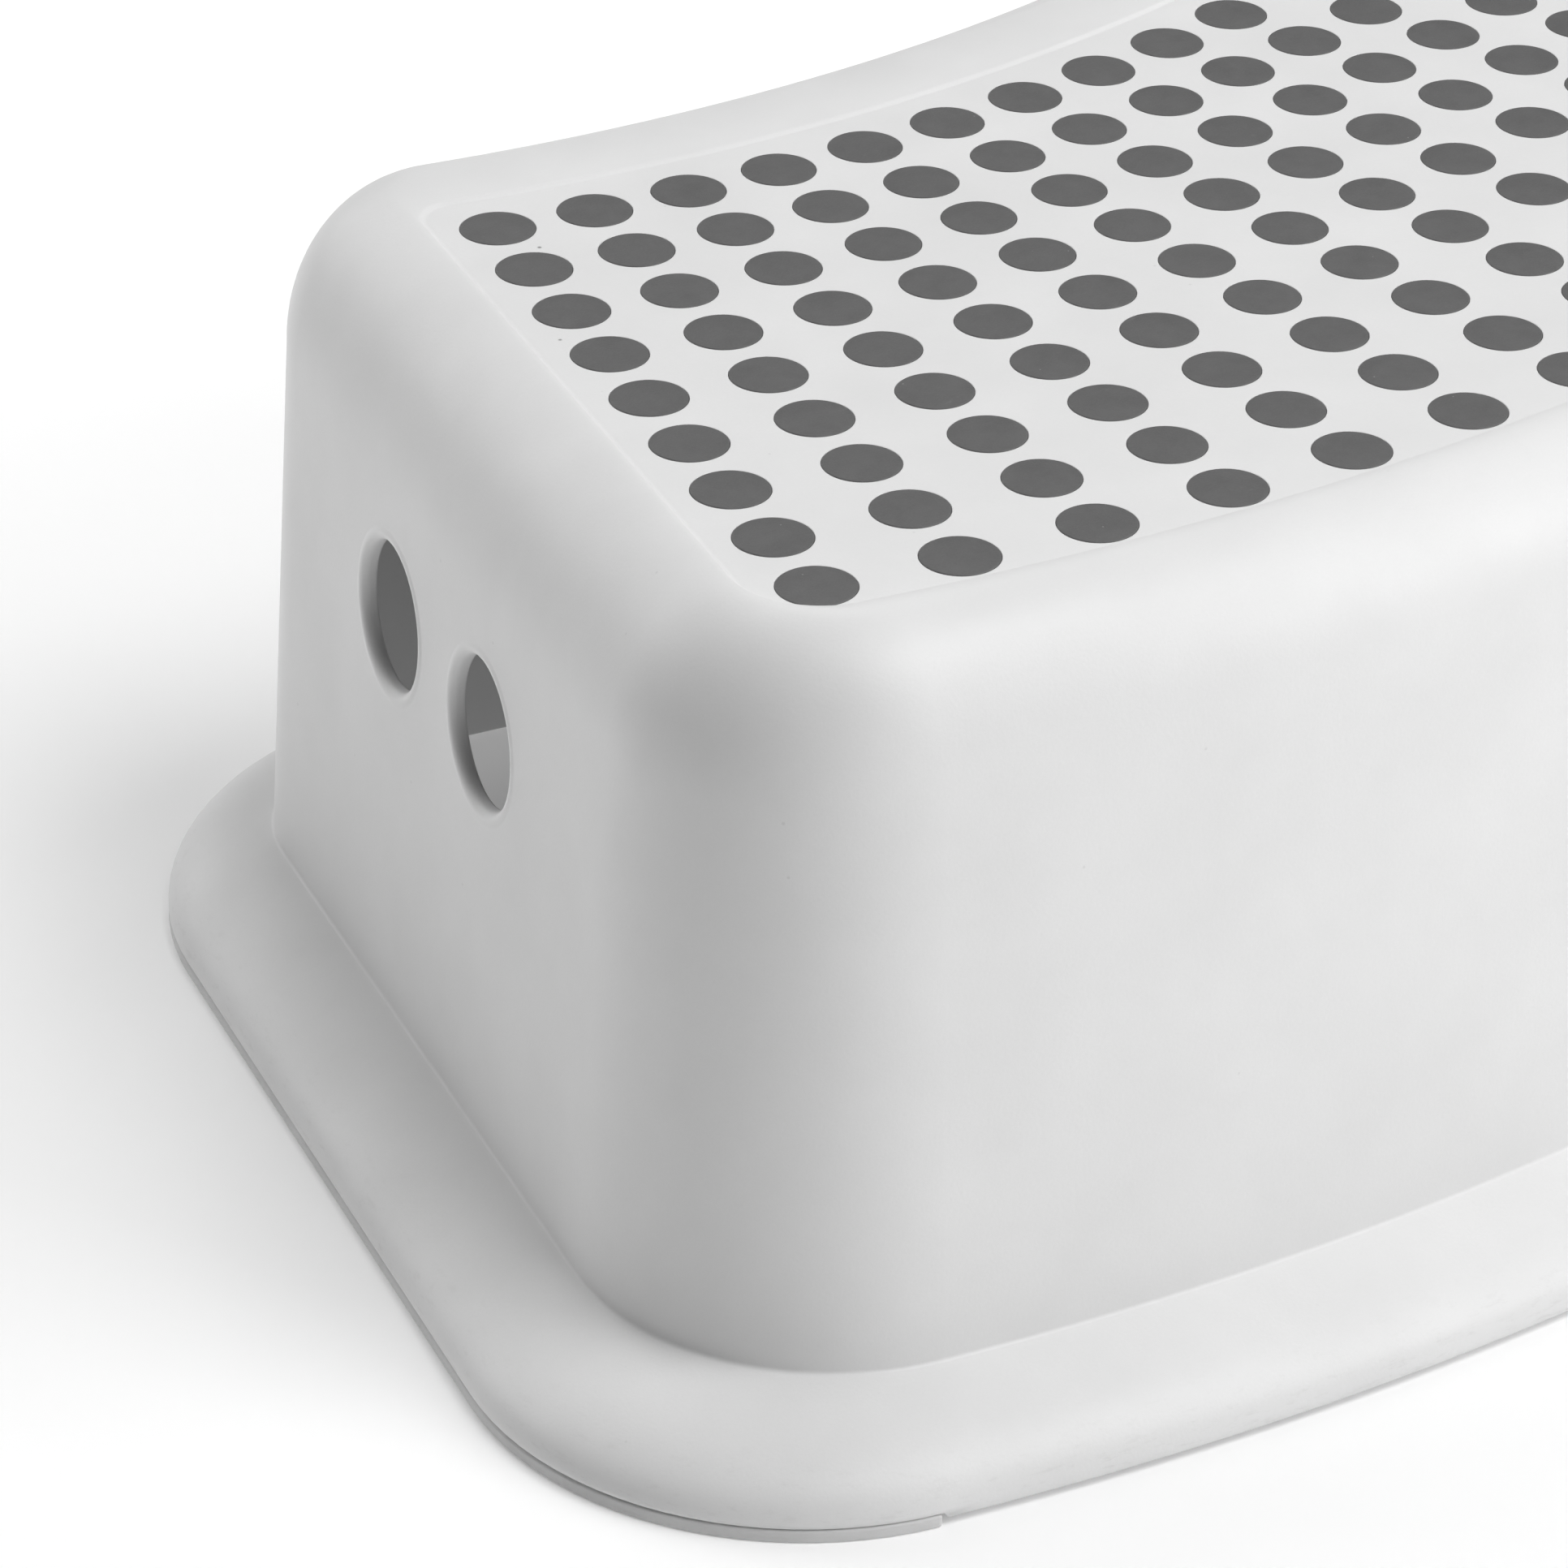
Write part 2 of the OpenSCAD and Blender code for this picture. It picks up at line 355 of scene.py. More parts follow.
def inner_section():
    """Inside of the shell from the lip up to the ceiling, as (inset, height)."""
    skirt = skirt_section(INNER_LIP_INSET, LIP_GAP + LIP_ROUND, SKIRT_W + SHELL_T, SKIRT_H - SHELL_T)
    wall = [(wall_inset(z, SHELL_T), z) for z in WINDOW]
    crease = fillet(skirt[-2], skirt[-1], wall[0], CREASE_R)
    return skirt[:-1] + crease + wall + shoulder_section(SHELL_T, CEILING_Z)


# ---------------------------------------------------------------- mesh helpers

# Triangulation mode that fills the convex hull of the points, and how close points count as one
WHOLE_HULL = 0
SAME_POINT = 1e-5
# How far bowed() moves the outermost point inwards, as a share of its distance from the middle
BOW = 0.02
# Vertices are merged on a grid with this many steps per millimetre
MERGE_GRID = 2000


def bowed(points):
    """2D points with straight rows of them bowed slightly, so that no triangle between them is flat."""
    low = [min(p[k] for p in points) for k in (0, 1)]
    high = [max(p[k] for p in points) for k in (0, 1)]
    centre = Vector((low[0] + high[0], low[1] + high[1])) / 2
    away = [Vector(p) - centre for p in points]
    bow = BOW / max(v.length_squared for v in away)
    return [v * (1 - bow * v.length_squared) for v in away]


def inside(p, loop):
    """True if the 2D point p lies inside the closed loop."""
    found = False
    for a, b in zip(loop, loop[1:] + loop[:1]):
        if (a.y > p.y) != (b.y > p.y) and p.x < a.x + (p.y - a.y) * (b.x - a.x) / (b.y - a.y):
            found = not found
    return found


class Build:
    """Collects vertices and faces in millimetres. Vertices at the same place are merged."""

    def __init__(self):
        self.verts, self.faces, self.known = [], [], {}

    def add(self, p):
        key = tuple(round(v * MERGE_GRID) for v in p)
        if key not in self.known:
            self.known[key] = len(self.verts)
            self.verts.append(p)
        return self.known[key]

    def face(self, points):
        ids = [self.add(p) for p in points]
        ids = [v for k, v in enumerate(ids) if v != ids[k - 1]]
        if len(set(ids)) > 2:
            self.faces.append(ids)

    def band(self, a, b, closed=True, skip=()):
        """Quads between two rows of points of the same length."""
        n = len(a)
        for i in range(n if closed else n - 1):
            j = (i + 1) % n
            if i not in skip:
                self.face([a[i], a[j], b[j], b[i]])

    def loft(self, rings):
        """Bands between each closed ring and the next."""
        for a, b in zip(rings, rings[1:]):
            self.band(a, b)

    def fill(self, boundary, holes, place):
        """Flat area inside boundary and outside the holes, all lists of 2D points.

        place() maps them to 3D.
        """
        points, edges, loop_of = [], [], []
        for k, loop in enumerate([boundary] + holes):
            first = len(points)
            points += loop
            loop_of += [k] * len(loop)
            edges += [(first + i, first + (i + 1) % len(loop)) for i in range(len(loop))]
        flat = bowed(points)
        found = delaunay_2d_cdt(flat, edges, [], WHOLE_HULL, SAME_POINT, True)
        triangles, sources = found[2], found[3]
        for triangle in triangles:
            ids = [sources[i][0] for i in triangle]
            loops = {loop_of[i] for i in ids}
            # A triangle between three points of one loop may lie in a hole or past the boundary.
            middle = (flat[ids[0]] + flat[ids[1]] + flat[ids[2]]) / 3
            if len(loops) > 1 or (loops == {0} and inside(middle, flat[:len(boundary)])):
                self.face([place(points[i]) for i in ids])


# Edges that turn by more than this are shaded sharp
SHARP_ANGLE = math.radians(50)


def make_piece(name, build):
    """Blender object from a build, riding on the stool's one body, with its normals turned outwards."""
    mesh = bpy.data.meshes.new(name)
    mesh.from_pydata([[v * MM for v in p] for p in build.verts], [], build.faces)
    mesh.validate()
    bm = bmesh.new()
    bm.from_mesh(mesh)
    bmesh.ops.recalc_face_normals(bm, faces=bm.faces)
    bm.to_mesh(mesh)
    bm.free()
    mesh.shade_smooth()
    mesh.set_sharp_from_angle(angle=SHARP_ANGLE)
    piece = bpy.data.objects.new(name, mesh)
    bpy.context.scene.collection.objects.link(piece)
    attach(piece, ROOT)
    return piece


def circle(centre, r, count):
    points = []
    for i in range(count):
        a = 2 * math.pi * i / count
        points.append((centre[0] + r * math.cos(a), centre[1] + r * math.sin(a)))
    return points


def stud_spots(row):
    """Centres of a row's studs, from the left. Row 0 is at the back."""
    r = ROW_R + row * ROW_PITCH
    return [arc_spot(r, ((COLUMNS - 1) / 2 - i) * COLUMN_ANGLE) for i in range(COLUMNS)]


# ---------------------------------------------------------------- shell

def finger_centres():
    """Centres of the left end's finger holes, as (distance along the end ray, height)."""
    reach = FINGER_PITCH / 2
    return [(FINGER_MID - reach, FINGER_Z), (FINGER_MID + reach, FINGER_Z)]


def on_end(p, t):
    """3D point on the left end wall's outside (t = 0) or t further in, from (along, height)."""
    return ray_spot(p[0], END_OFFSET - wall_inset(p[1], t)) + (p[1],)


def along_of(p):
    """Distance along the left end ray of a plan point."""
    return -p[0] * math.sin(END_ANGLE) + (ARC_Y - p[1]) * math.cos(END_ANGLE)


def window_range():
    """Outline segments that the window with the finger holes takes up, on the left end."""
    return range(END_START + WINDOW_SIDE, END_START + END_STEPS - WINDOW_SIDE)


def end_wall(side, p, t):
    """on_end() for the left end (side 1) or its mirror image (side -1)."""
    x, y, z = on_end(p, t)
    return (side * x, y, z)


def finger_profile():
    """Section of a finger hole's edge from the outside to the inside, as (growth of the radius, depth)."""
    profile = []
    for i in range(FINGER_BEAD_STEPS):
        f = i / FINGER_BEAD_STEPS
        profile.append((
            FINGER_EDGE_R + FINGER_BEAD_W * (1 - f),
            -FINGER_BEAD * (1 - math.cos(math.pi * f)) / 2,
        ))
    for i in range(FINGER_STEPS + 1):
        a = math.pi / 2 * i / FINGER_STEPS
        profile.append((
            FINGER_EDGE_R * (1 - math.sin(a)),
            (FINGER_EDGE_R + FINGER_BEAD) * (1 - math.cos(a)) - FINGER_BEAD,
        ))
    for i in range(ROUND_STEPS + 1):
        a = math.pi / 2 * i / ROUND_STEPS
        profile.append((
            FINGER_INNER_EDGE_R * (1 - math.cos(a)),
            SHELL_T - FINGER_INNER_EDGE_R * (1 - math.sin(a)),
        ))
    profile.append((FINGER_INNER_EDGE_R + FINGER_GUARD, SHELL_T))
    return profile


def cut_fingers(shell, outer_low, outer_high, inner_low, inner_high):
    """Fills the windows of both ends with a wall that has rounded finger holes."""
    ids = list(window_range())
    ids.append(ids[-1] + 1)
    faces = (
        (0.0, outer_low, outer_high, FINGER_EDGE_R + FINGER_BEAD_W),
        (SHELL_T, inner_low, inner_high, FINGER_INNER_EDGE_R + FINGER_GUARD),
    )
    for side in (1, -1):
        for t, low, high, grow in faces:
            lower = [(along_of(low[i]), low[i][2]) for i in ids]
            upper = [(along_of(high[i]), high[i][2]) for i in ids]
            holes = [circle(c, FINGER_R + grow, FINGER_POINTS) for c in finger_centres()]
            shell.fill(lower + upper[::-1], holes, lambda p, t=t: end_wall(side, p, t))
        for c in finger_centres():
            rings = [
                [end_wall(side, p, depth) for p in circle(c, FINGER_R + grow, FINGER_POINTS)]
                for grow, depth in finger_profile()
            ]
            shell.loft(rings)


def lip_rings():
    """Rounded lower edge of the shell, from the outside to the inside, lifted over the foot strips."""
    seat = STRIP_H + STRIP_GAP
    return [
        level(LIP_INSET, LIP_TOP),
        level(LIP_INSET, LIP_GAP + LIP_ROUND, seat + LIP_ROUND / 2),
        level(LIP_INSET + LIP_ROUND * 0.3, LIP_GAP + LIP_ROUND * 0.3, seat + LIP_ROUND * 0.15),
        level(LIP_INSET + LIP_ROUND, LIP_GAP, seat),
        level(STRIP_W - LIP_ROUND, LIP_GAP, seat),
        inner_lip(),
    ]


def inner_lip():
    """Ring that the lip and the inside share."""
    return level(INNER_LIP_INSET, LIP_GAP + LIP_ROUND, STRIP_H + STRIP_GAP + LIP_ROUND / 2)


def panel_step_rings():
    """Soft slope from the rim down to the panel, and a narrow flat ring inside it."""
    upper, lower = panel_outline(), panel_floor_outline()
    rings = []
    for i in range(SLOPE_STEPS + 1):
        f = i / SLOPE_STEPS
        z = TOP - PANEL_STEP * (1 - math.cos(math.pi * f)) / 2
        rings.append([
            (a[0] + (b[0] - a[0]) * f, a[1] + (b[1] - a[1]) * f, z)
            for a, b in zip(upper, lower)
        ])
    rings.append([p + (PANEL_Z,) for p in panel_floor_outline(GUARD)])
    return rings


def stud_hole_profile():
    """Section of a stud's hole from the panel's top down, as (growth of the radius, depth)."""
    profile = [(HOLE_EDGE_R + GUARD, 0.0)]
    for i in range(HOLE_EDGE_STEPS + 1):
        a = math.pi / 2 * i / HOLE_EDGE_STEPS
        profile.append((HOLE_EDGE_R * (1 - math.sin(a)), HOLE_EDGE_R * (1 - math.cos(a))))
    profile.append((0.0, PANEL_T))
    return profile


def shell_mesh():
    """The stool's skin, with its finger holes and stud holes."""
    shell = Build()
    outer = [level(*p) for p in outer_section()]
    inner = [inner_lip()] + [level(*p) for p in inner_section()[1:]]
    left = set(window_range())
    windows = left | {2 * HALF_COUNT - 1 - i for i in left}
    sides = []
    for rings in (outer, inner):
        for a, b in zip(rings, rings[1:]):
            if abs(a[0][2] - WINDOW[0]) < WINDOW_MARGIN:
                shell.band(a, b, skip=windows)
                sides += [a, b]
            else:
                shell.band(a, b)
    cut_fingers(shell, *sides)
    shell.loft(lip_rings())
    rim = [outer[-1]] + panel_step_rings()
    shell.loft(rim)

    # Panel and ceiling, with a hole for each stud
    spots = [p for row in range(ROWS) for p in stud_spots(row)]
    wide = STUD_R + STUD_GAP
    top_holes = [circle(p, wide + HOLE_EDGE_R + GUARD, HOLE_POINTS) for p in spots]
    low_holes = [circle(p, wide, HOLE_POINTS) for p in spots]
    shell.fill([p[:2] for p in rim[-1]], top_holes, lambda p: (p[0], p[1], PANEL_Z))
    shell.fill([p[:2] for p in inner[-1]], low_holes, lambda p: (p[0], p[1], CEILING_Z))
    for p in spots:
        shell.loft([
            [q + (PANEL_Z - depth,) for q in circle(p, wide + grow, HOLE_POINTS)]
            for grow, depth in stud_hole_profile()
        ])
    return shell


def arc_bar(build, r, section, half_a, steps=48):
    """Closed bar along an arc. section is a closed list of (offset from r, height)."""
    rows = []
    for i in range(steps + 1):
        a = half_a * (1 - 2 * i / steps)
        rows.append([arc_spot(r + q[0], a) + (q[1],) for q in section])
    build.loft(rows)
    build.face(rows[0])
    build.face(rows[-1][::-1])


def rounded_section(half_w, bottom, top, r):
    """Section of a bar with its two lower edges rounded."""
    left = fillet((-half_w, top), (-half_w, bottom), (half_w, bottom), r, 4)
    right = fillet((-half_w, bottom), (half_w, bottom), (half_w, top), r, 4)
    return [(-half_w, top)] + left + right + [(half_w, top)]


def rib_mesh():
    """Ribs under the panel, let into it by half its thickness."""
    ribs = Build()
    for gap in RIB_GAPS:
        r = ROW_R + (gap - 0.5) * ROW_PITCH
        section = rounded_section(RIB_T / 2, CEILING_Z - RIB_H, CEILING_Z + PANEL_T / 2, RIB_T * 0.4)
        arc_bar(ribs, r, section, END_ANGLE + turn_of(RIB_END, r))
    return ribs


# ---------------------------------------------------------------- soft pieces

def stud_profile():
    """Half section of a stud, from its crown down to its foot, as (radius, height)."""
    rise = PANEL_Z + STUD_RISE
    flat_r = STUD_R - STUD_EDGE_R
    points = []
    for i in range(CROWN_STEPS + 1):
        f = i / CROWN_STEPS
        points.append((flat_r * f, rise - STUD_CROWN * f * f))
    edge_z = rise - STUD_CROWN - STUD_EDGE_R
    for i in range(1, ROUND_STEPS + 2):
        a = math.pi / 2 * i / (ROUND_STEPS + 1)
        points.append((flat_r + STUD_EDGE_R * math.sin(a), edge_z + STUD_EDGE_R * math.cos(a)))
    foot = CEILING_Z - RUNNER_T
    bevel = STUD_FOOT_ROUND * 0.3
    points += [
        (STUD_R, PANEL_Z - STUD_NECK),
        (STUD_R, foot + STUD_FOOT_ROUND),
        (STUD_R - bevel, foot + bevel),
        (STUD_R - STUD_FOOT_ROUND, foot),
    ]
    return points


# Radius of the small flat in the middle of a stud's crown, and sizes of the runner's mesh
CROWN_FLAT_R = 0.02
RUNNER_GAP = 0.02
RUNNER_ROUND = 0.4


def tread_mesh(row):
    """One row of studs and its runner."""
    tread = Build()
    profile = stud_profile()
    for spot in stud_spots(row):
        rings = [[p + (z,) for p in circle(spot, max(r, CROWN_FLAT_R), HOLE_POINTS)] for r, z in profile]
        tread.loft(rings)
        tread.face(rings[0])
        tread.face(rings[-1][::-1])
    low, high = CEILING_Z - RUNNER_T, CEILING_Z - RUNNER_GAP
    section = rounded_section(RUNNER_W / 2, low, high, RUNNER_ROUND)
    arc_bar(tread, ROW_R + row * ROW_PITCH, section, COLUMN_ANGLE * (COLUMNS - 1) / 2)
    return tread


def strip_section():
    """Closed section of a foot strip, as (inset, height), with its edges rounded."""
    inset = LIP_INSET - STRIP_PROUD
    box = [(inset, 0.0), (STRIP_W, 0.0), (STRIP_W, STRIP_H), (inset, STRIP_H)]
    points = []
    for k, q in enumerate(box):
        r = STRIP_ROUND if k in (0, 3) else STRIP_INNER_ROUND
        points += fillet(box[k - 1], q, box[(k + 1) % 4], r, 4)
    return points


def strip_mesh(side):
    strip = Build()
    section = strip_section()
    mid = Vector((STRIP_W / 2, STRIP_H / 2))

    def ring_at(step, shrink, shift):
        """Section at a step of the path, shrunk towards its middle and moved on along the path's end."""
        points = []
        for q in section:
            inset, z = mid + (Vector(q) - mid) * shrink
            front = corner(FRONT_R - inset, END_OFFSET - inset, SKIRT_FRONT_CORNER - inset, 1)[::-1]
            back = corner(BACK_R + inset, END_OFFSET - inset, SKIRT_BACK_CORNER - inset, -1)
            path = front + back
            here = Vector(path[step])
            ahead = Vector(path[step + 1]) if step == 0 else Vector(path[step - 1])
            here += (here - ahead).normalized() * shift
            points.append((side * here.x, here.y, z))
        return points

    last = 2 * CORNER_STEPS + 1
    # Rounded ends, as (shrink, shift) from the tip inwards
    caps = [(0.45, -0.05), (0.75, -0.12), (0.92, -0.3), (1.0, -0.7)]
    rings = [ring_at(0, f, s) for f, s in caps]
    rings += [ring_at(k, 1.0, 0.0) for k in range(1, last)]
    rings += [ring_at(last, f, s) for f, s in caps[::-1]]
    strip.loft(rings)
    strip.face(rings[0])
    strip.face(rings[-1][::-1])
    return strip


# ---------------------------------------------------------------- materials

class Nodes:
    """Short names for building one material's node tree."""

    def __init__(self, name):
        self.material = bpy.data.materials.new(name)
        self.material.use_nodes = True
        self.tree = self.material.node_tree
        self.shader = self.tree.nodes["Principled BSDF"]
        self.place = self.tree.nodes.new("ShaderNodeTexCoord").outputs["Object"]

    def new(self, kind, **inputs):
        node = self.tree.nodes.new(kind)
        for name, value in inputs.items():
            socket = node.inputs[name.replace("_", " ")]
            if isinstance(value, bpy.types.NodeSocket):
                self.tree.links.new(value, socket)
            else:
                socket.default_value = value
        return node

    def noise(self, scale, detail=3.0, roughness=0.5, stretch=None):
        """Noise between 0 and 1. scale is in features per metre."""
        vector = self.place
        if stretch:
            mapping = self.new("ShaderNodeMapping", Vector=self.place)
            mapping.inputs["Scale"].default_value = stretch
            vector = mapping.outputs["Vector"]
        node = self.new("ShaderNodeTexNoise", Vector=vector, Scale=scale)
        node.inputs["Detail"].default_value = detail
        node.inputs["Roughness"].default_value = roughness
        return node.outputs["Fac"]

    def spots(self, scale, radius, share):
        """1 inside rare small round spots.

        scale is in cells per metre, radius is in cells, and share is the share of cells that show one.
        """
        cells = self.new("ShaderNodeTexVoronoi", Vector=self.place, Scale=scale, Randomness=1.0)
        near = self.curve(cells.outputs["Distance"], radius, radius * 0.5, 0.0, 1.0)
        colour = self.new("ShaderNodeSeparateColor", Color=cells.outputs["Color"])
        chosen = self.maths("LESS_THAN", colour.outputs["Red"], share)
        return self.maths("MULTIPLY", near, chosen)

    def height(self):
        """Height above the floor in metres."""
        return self.new("ShaderNodeSeparateXYZ", Vector=self.place).outputs["Z"]

    def maths(self, operation, a, b):
        node = self.tree.nodes.new("ShaderNodeMath")
        node.operation = operation
        for socket, value in zip(node.inputs, (a, b)):
            if isinstance(value, bpy.types.NodeSocket):
                self.tree.links.new(value, socket)
            else:
                socket.default_value = value
        return node.outputs[0]

    def curve(self, value, low, high, to_low, to_high):
        """Maps low..high to to_low..to_high, and holds it there outside."""
        node = self.new("ShaderNodeMapRange", Value=value)
        node.inputs["From Min"].default_value = low
        node.inputs["From Max"].default_value = high
        node.inputs["To Min"].default_value = to_low
        node.inputs["To Max"].default_value = to_high
        return node.outputs["Result"]

    def mix(self, share, a, b):
        """Colour between a and b."""
        node = self.tree.nodes.new("ShaderNodeMix")
        node.data_type = "RGBA"
        for socket, value in zip((node.inputs[0], node.inputs[6], node.inputs[7]), (share, a, b)):
            if isinstance(value, bpy.types.NodeSocket):
                self.tree.links.new(value, socket)
            else:
                socket.default_value = value
        return node.outputs[2]

    def bump(self, height, strength, distance, under=None):
        node = self.new("ShaderNodeBump", Height=height, Strength=strength, Distance=distance)
        if under:
            self.tree.links.new(under, node.inputs["Normal"])
        return node.outputs["Normal"]

    def finish(self, colour, roughness, normal):
        self.tree.links.new(colour, self.shader.inputs["Base Color"])
        self.tree.links.new(roughness, self.shader.inputs["Roughness"])
        self.tree.links.new(normal, self.shader.inputs["Normal"])
        return self.material


def grey(v, warmth=0.0):
    return (v + warmth, v, v - warmth, 1.0)


def shell_material():
    """White satin plastic: faint mottling, a fine moulded grain, a few specks, and scuffs near the floor."""
    n = Nodes("white_moulded_plastic")
    mottle = n.curve(n.noise(38, 4, 0.55), 0.3, 0.7, 0.0, 1.0)
    colour = n.mix(mottle, grey(0.775), grey(0.815))
    fine = n.curve(n.noise(2600, 2, 0.6), 0.35, 0.65, 0.0, 1.0)
    colour = n.mix(n.maths("MULTIPLY", fine, 0.10), colour, grey(0.70))
    near_floor = n.curve(n.height(), 0.003, 0.012, 1.0, 0.0)
    scuffs = n.curve(n.noise(240, 5, 0.7, (1.0, 1.0, 4.0)), 0.55, 0.72, 0.0, 0.30)
    colour = n.mix(n.maths("MULTIPLY", near_floor, scuffs), colour, grey(0.52, 0.01))
    colour = n.mix(n.spots(70, 0.03, 0.25), colour, grey(0.30))
    colour = n.mix(n.maths("MULTIPLY", n.spots(150, 0.05, 0.2), 0.25), colour, grey(0.45))
    rough = n.curve(n.noise(55, 4, 0.6), 0.3, 0.7, 0.40, 0.50)
    grain = n.bump(n.noise(1500, 3, 0.6), 0.10, 0.0002)
    waves = n.bump(n.noise(24, 2, 0.5), 0.25, 0.0006, grain)
    n.shader.inputs["IOR"].default_value = 1.49
    return n.finish(colour, rough, waves)


def tread_material():
    """Dark grey soft rubber: matt, with a fine texture, light dust and rubbed spots."""
    n = Nodes("dark_grey_soft_rubber")
    mottle = n.curve(n.noise(220, 4, 0.6), 0.3, 0.7, 0.0, 1.0)
    colour = n.mix(mottle, grey(0.104), grey(0.122))
    fine = n.curve(n.noise(3200, 2, 0.7), 0.4, 0.7, 0.0, 0.35)
    colour = n.mix(fine, colour, grey(0.146))
    colour = n.mix(n.maths("MULTIPLY", n.spots(420, 0.07, 0.12), 0.5), colour, grey(0.45))
    scuff = n.curve(n.noise(130, 5, 0.7, (1.0, 3.0, 1.0)), 0.66, 0.74, 0.0, 0.25)
    colour = n.mix(scuff, colour, grey(0.24))
    rough = n.curve(n.noise(180, 3, 0.6), 0.3, 0.7, 0.52, 0.66)
    grain = n.bump(n.noise(2300, 3, 0.65), 0.30, 0.00025)
    n.shader.inputs["IOR"].default_value = 1.48
    return n.finish(colour, rough, grain)


def strip_material():
    """Light grey soft plastic, a little duller than the shell, with dust picked up from the floor."""
    n = Nodes("light_grey_soft_plastic")
    mottle = n.curve(n.noise(120, 4, 0.6), 0.3, 0.7, 0.0, 1.0)
    colour = n.mix(mottle, grey(0.62), grey(0.68))
    dust = n.curve(n.noise(420, 4, 0.7), 0.55, 0.75, 0.0, 0.25)
    colour = n.mix(dust, colour, grey(0.45, 0.01))
    rough = n.curve(n.noise(90, 3, 0.6), 0.3, 0.7, 0.50, 0.62)
    grain = n.bump(n.noise(2000, 3, 0.6), 0.15, 0.0002)
    return n.finish(colour, rough, grain)


def floor_material():
    """Pale floor that glows a little away from the stool, like a light table."""
    n = Nodes("pale_floor")
    away = n.new("ShaderNodeVectorMath", Vector=n.place)
    away.operation = "LENGTH"
    glow = n.curve(away.outputs["Value"], 0.16, 0.34, 0.16, 0.24)
    n.shader.inputs["Emission Color"].default_value = grey(1.0)
    n.tree.links.new(glow, n.shader.inputs["Emission Strength"])
    tone = n.curve(n.noise(3, 3, 0.5), 0.3, 0.7, 0.0, 1.0)
    colour = n.mix(tone, grey(0.86), grey(0.88))
    rough = n.curve(n.noise(6, 3, 0.5), 0.3, 0.7, 0.75, 0.85)
    grain = n.bump(n.noise(900, 2, 0.5), 0.03, 0.0002)
    return n.finish(colour, rough, grain)


# ---------------------------------------------------------------- stage

# In metres
LIGHT_DISTANCE = 2.2
LIGHT_AIM = Vector((0.0, 0.0, 0.06))
FLOOR_HALF = 6.0
CAMERA_PLACE = Vector((-0.6588, -0.6729, 0.5731))
CAMERA_CLIP = 0.05
# In degrees. The azimuth is 0 towards the stool's back, the elevation is how far the view points down.
CAMERA_AZIMUTH = 40.137
CAMERA_ELEVATION = 30.477
CAMERA_ROLL = 0.799
# In millimetres
CAMERA_SENSOR = 36.0
CAMERA_LENS = 149.76


def area_light(name, azimuth, elevation, size, power):
    """Soft box aimed at the stool.

    azimuth and elevation say where it stands, in degrees: 0 is behind the stool and 90 at its right.
    size is in metres and power in watts.
    """
    lamp = bpy.data.lights.new(name, "AREA")
    lamp.shape = "RECTANGLE"
    lamp.size, lamp.size_y = size
    lamp.energy = power
    turn, tilt = math.radians(azimuth), math.radians(elevation)
    flat = math.cos(tilt)
    away = Vector((math.sin(turn) * flat, math.cos(turn) * flat, math.sin(tilt)))
    holder = bpy.data.objects.new(name, lamp)
    holder.location = away * LIGHT_DISTANCE + LIGHT_AIM
    holder.rotation_euler = (-away).to_track_quat("-Z", "Y").to_euler()
    bpy.context.scene.collection.objects.link(holder)


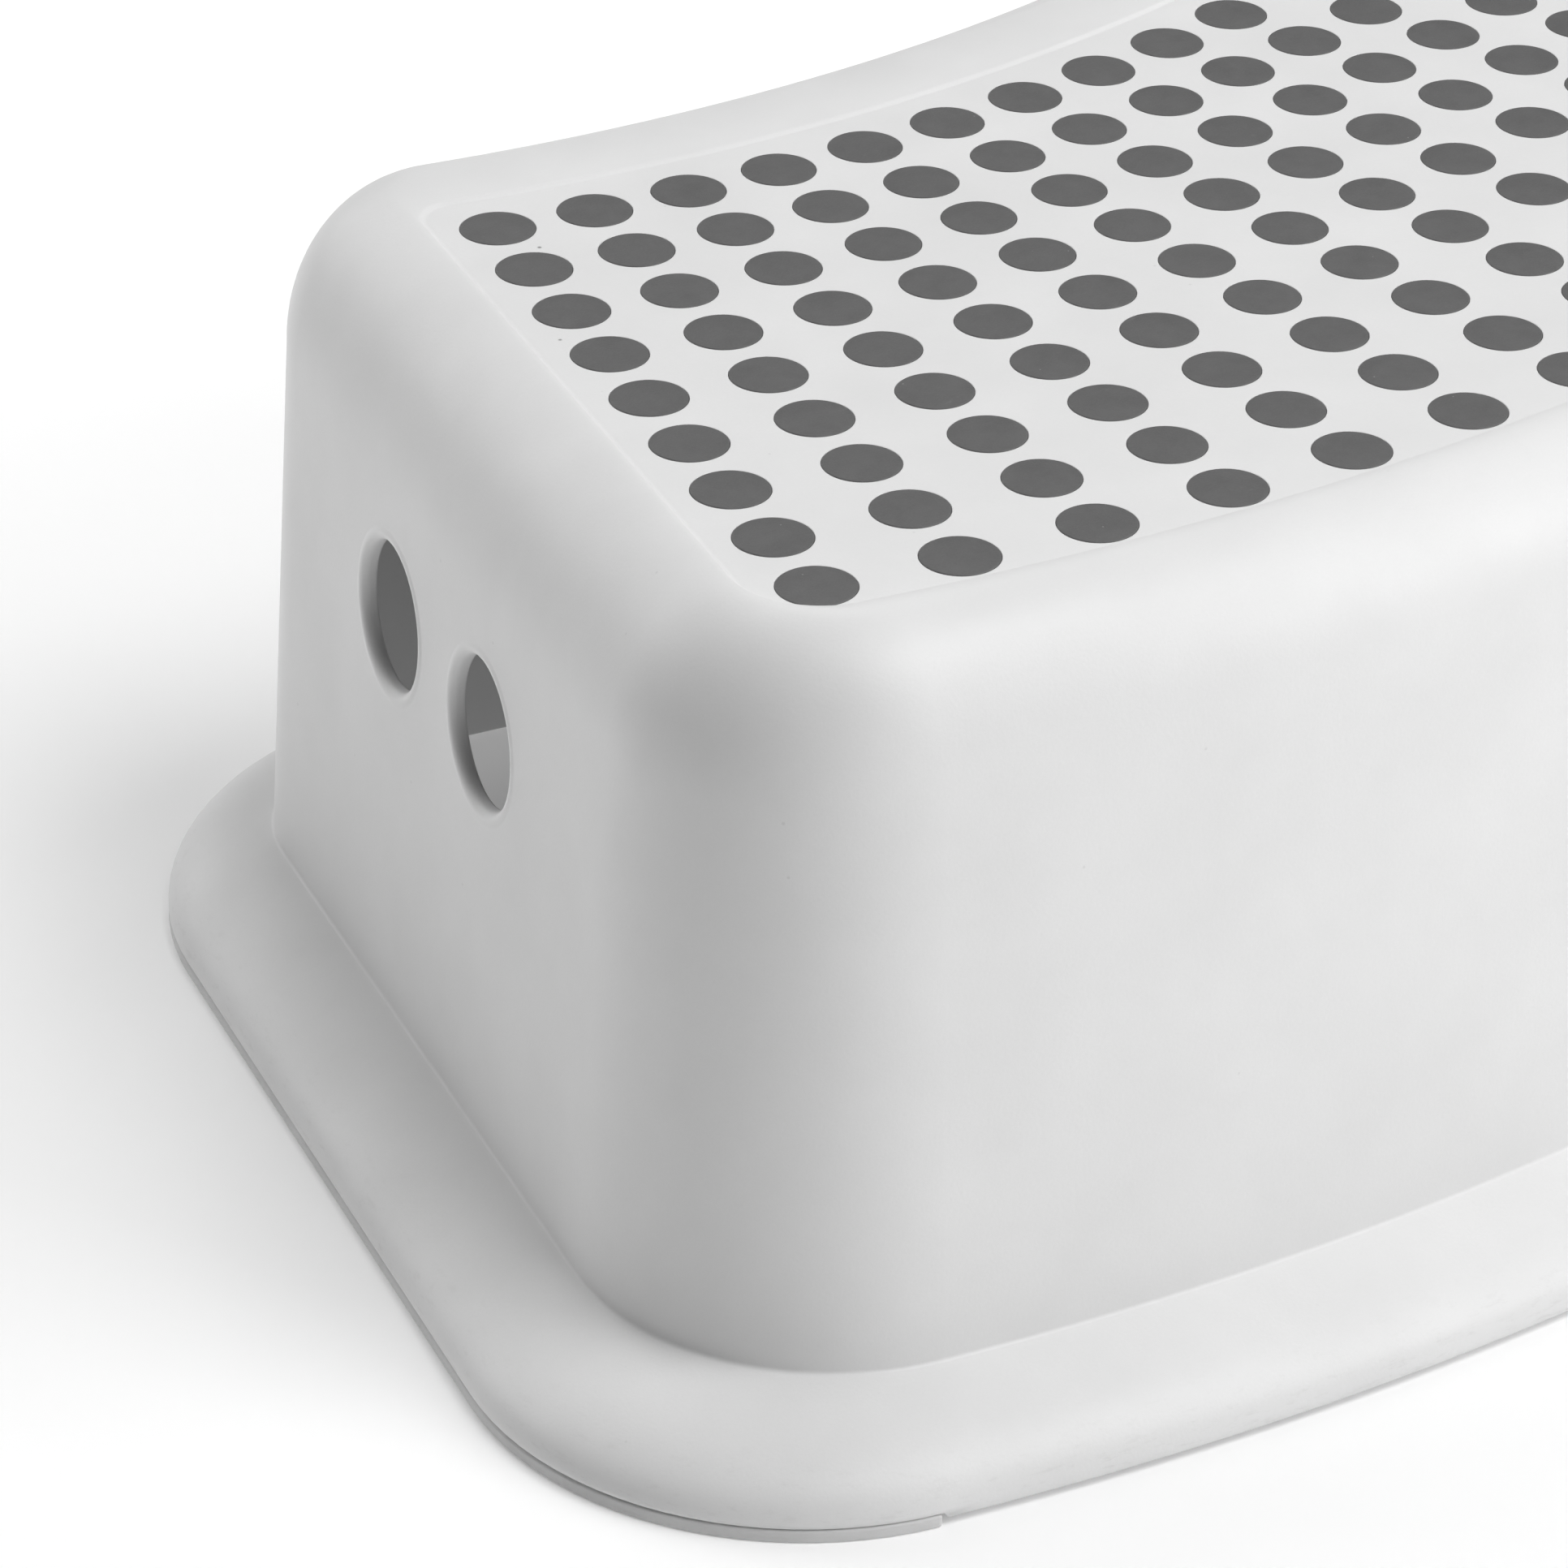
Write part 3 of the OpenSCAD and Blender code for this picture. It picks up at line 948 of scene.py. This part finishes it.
def make_stage():
    """Floor, world and lights. The Standard view transform keeps the white background white."""
    mesh = bpy.data.meshes.new("floor")
    s = FLOOR_HALF
    mesh.from_pydata([(-s, -s, 0.0), (s, -s, 0.0), (s, s, 0.0), (-s, s, 0.0)], [], [(0, 1, 2, 3)])
    ground = bpy.data.objects.new("floor", mesh)
    bpy.context.scene.collection.objects.link(ground)
    ground.data.materials.append(floor_material())

    world = bpy.data.worlds.new("studio")
    world.use_nodes = True
    background = world.node_tree.nodes["Background"]
    background.inputs["Color"].default_value = grey(1.0)
    background.inputs["Strength"].default_value = 0.01
    bpy.context.scene.world = world
    bpy.context.scene.view_settings.view_transform = "Standard"

    area_light("front_low", 148, 30, (1.2, 1.0), 19)
    area_light("front_high", 164, 62, (1.2, 1.0), 26.5)
    area_light("right", 95, 40, (1.2, 1.2), 6)
    area_light("back_left", 345, 24, (2.0, 1.4), 21.5)
    area_light("back_high", 20, 58, (1.2, 1.0), 9)


def make_camera():
    """Camera at the left front, looking down on the stool's left part."""
    azimuth = math.radians(CAMERA_AZIMUTH)
    elevation = math.radians(CAMERA_ELEVATION)
    roll = math.radians(CAMERA_ROLL)
    ahead = Vector((
        math.sin(azimuth) * math.cos(elevation),
        math.cos(azimuth) * math.cos(elevation),
        -math.sin(elevation),
    ))
    right = Vector((math.cos(azimuth), -math.sin(azimuth), 0.0))
    up = right.cross(ahead)
    tilted_right = right * math.cos(roll) + up * math.sin(roll)
    tilted_up = up * math.cos(roll) - right * math.sin(roll)
    turn = Matrix((tilted_right, tilted_up, -ahead)).transposed()
    data = bpy.data.cameras.new("camera")
    data.sensor_width = CAMERA_SENSOR
    data.lens = CAMERA_LENS
    data.clip_start = CAMERA_CLIP
    camera = bpy.data.objects.new("camera", data)
    camera.matrix_world = Matrix.Translation(CAMERA_PLACE) @ turn.to_4x4()
    bpy.context.scene.collection.objects.link(camera)
    bpy.context.scene.camera = camera


# ---------------------------------------------------------------- assembly

white = shell_material()
rubber = tread_material()
soft_grey = strip_material()

shell = make_piece("shell", shell_mesh())
shell.data.materials.append(white)
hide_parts("body_shell")

ribs = make_piece("panel_ribs", rib_mesh())
ribs.data.materials.append(white)

for row in range(ROWS):
    tread = make_piece(f"tread_studs_{row + 1}", tread_mesh(row))
    tread.data.materials.append(rubber)
    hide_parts(f"tread_row_{row + 1}")

for name, side in (("left", 1), ("right", -1)):
    strip = make_piece(f"soft_strip_{name}", strip_mesh(side))
    strip.data.materials.append(soft_grey)
    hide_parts(f"foot_strip_{name}")

make_stage()
make_camera()
